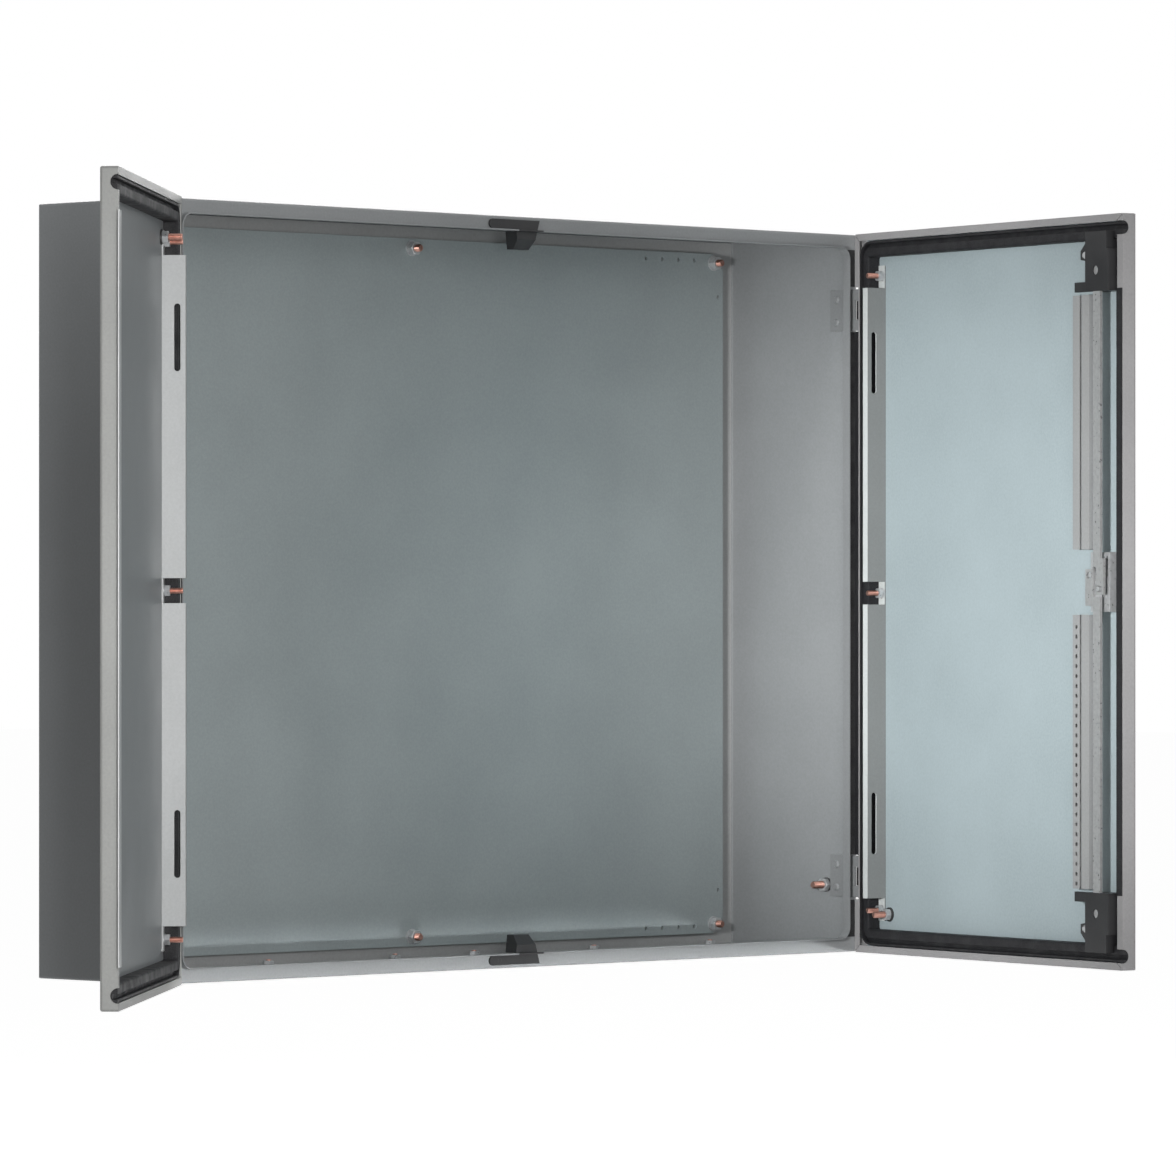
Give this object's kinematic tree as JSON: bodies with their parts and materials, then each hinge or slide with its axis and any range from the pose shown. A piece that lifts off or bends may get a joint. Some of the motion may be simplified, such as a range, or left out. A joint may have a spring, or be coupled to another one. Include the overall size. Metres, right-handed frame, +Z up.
{
  "type": "steel wall enclosure",
  "caption": "Wall-mounted sheet-steel enclosure with two hinged doors, a mounting plate on studs, foam gaskets and a three-point rod lock.",
  "frame": {"origin": "centre of the four wall holes, on the rear face", "axes": "+X to the right seen from the front, +Y into the wall, +Z up"},
  "size_m": [1.3778, 0.669, 0.76],
  "materials": {
    "sheet_steel": "satin ground sheet",
    "plate_steel": "satin, faint mottling",
    "zinc_steel": "bright zinc plated",
    "dark_steel": "blackened",
    "copper_plated": "copper-plated weld stud",
    "seal_rubber": "matt",
    "black_plastic": "moulded, matt"
  },
  "bodies": {
    "enclosure_body": {"body_shell": "sheet_steel", "rear_wall": "sheet_steel", "front_frame": "sheet_steel", "gland_plates": "sheet_steel", "gland_gaskets": "seal_rubber", "gland_studs": "copper_plated", "gland_nuts": "zinc_steel", "mounting_plate": "plate_steel", "plate_studs": "copper_plated", "plate_spacers": "zinc_steel", "plate_washers": "zinc_steel", "plate_nuts": "zinc_steel", "left_hinge_body_leaves": "zinc_steel", "right_hinge_body_leaves": "zinc_steel", "hinge_rivets": "zinc_steel", "left_hinge_pins": "zinc_steel", "right_hinge_pins": "zinc_steel", "centre_block_top": "black_plastic", "centre_block_bottom": "black_plastic", "centre_block_screws": "black_plastic", "body_earth_stud": "copper_plated", "body_earth_washer": "dark_steel", "body_earth_nut": "zinc_steel"},
    "left_door": {"left_door_panel": "sheet_steel", "left_door_gasket": "seal_rubber", "left_hinge_door_leaves": "zinc_steel", "left_hinge_profile": "zinc_steel", "left_profile_studs": "copper_plated", "left_profile_washers": "zinc_steel", "left_profile_nuts": "zinc_steel", "left_earth_stud": "copper_plated", "left_earth_washer": "dark_steel", "left_earth_nut": "zinc_steel", "left_closing_strip": "sheet_steel"},
    "right_door": {"right_door_panel": "sheet_steel", "right_door_gasket": "seal_rubber", "right_hinge_door_leaves": "zinc_steel", "right_hinge_profile": "zinc_steel", "right_profile_studs": "copper_plated", "right_profile_washers": "zinc_steel", "right_profile_nuts": "zinc_steel", "right_earth_stud": "copper_plated", "right_earth_washer": "dark_steel", "right_earth_nut": "zinc_steel", "right_centre_seal": "seal_rubber", "lock_side_profile": "zinc_steel", "lock_housing": "zinc_steel", "lock_barrel": "zinc_steel", "lock_barrel_nut": "zinc_steel", "rod_guide_upper": "black_plastic", "rod_guide_lower": "black_plastic", "rod_guide_screws": "zinc_steel"},
    "lock": {"lock_core": "zinc_steel", "lock_cam": "zinc_steel"},
    "upper_rod": {"lock_rod_upper": "zinc_steel"},
    "lower_rod": {"lock_rod_lower": "zinc_steel"}
  },
  "joints": [
    {"name": "left_door_hinge", "type": "hinge", "parent": "enclosure_body", "child": "left_door", "pos_m": [-0.495, -0.191, 0], "axis": [0, 0, -1], "range_deg": [-139.5, 5.5]},
    {"name": "right_door_hinge", "type": "hinge", "parent": "enclosure_body", "child": "right_door", "pos_m": [0.495, -0.191, 0], "axis": [0, 0, 1], "range_deg": [-75, 70]},
    {"name": "lock_turn", "type": "hinge", "parent": "right_door", "child": "lock", "pos_m": [0.38448, -0.63244, 0.01], "axis": [0.9659, -0.2588, 0], "range_deg": [-90, 0]},
    {"name": "upper_rod_slide", "type": "slide", "parent": "right_door", "child": "upper_rod", "axis": [0, 0, -1], "range_m": [-0.014, 0]},
    {"name": "lower_rod_slide", "type": "slide", "parent": "right_door", "child": "lower_rod", "axis": [0, 0, 1], "range_m": [-0.014, 0]}
  ],
  "couplings": [
    {"joint": "upper_rod_slide", "follows": "lock_turn", "m_per_rad": 0.0089},
    {"joint": "lower_rod_slide", "follows": "lock_turn", "m_per_rad": 0.0089}
  ]
}
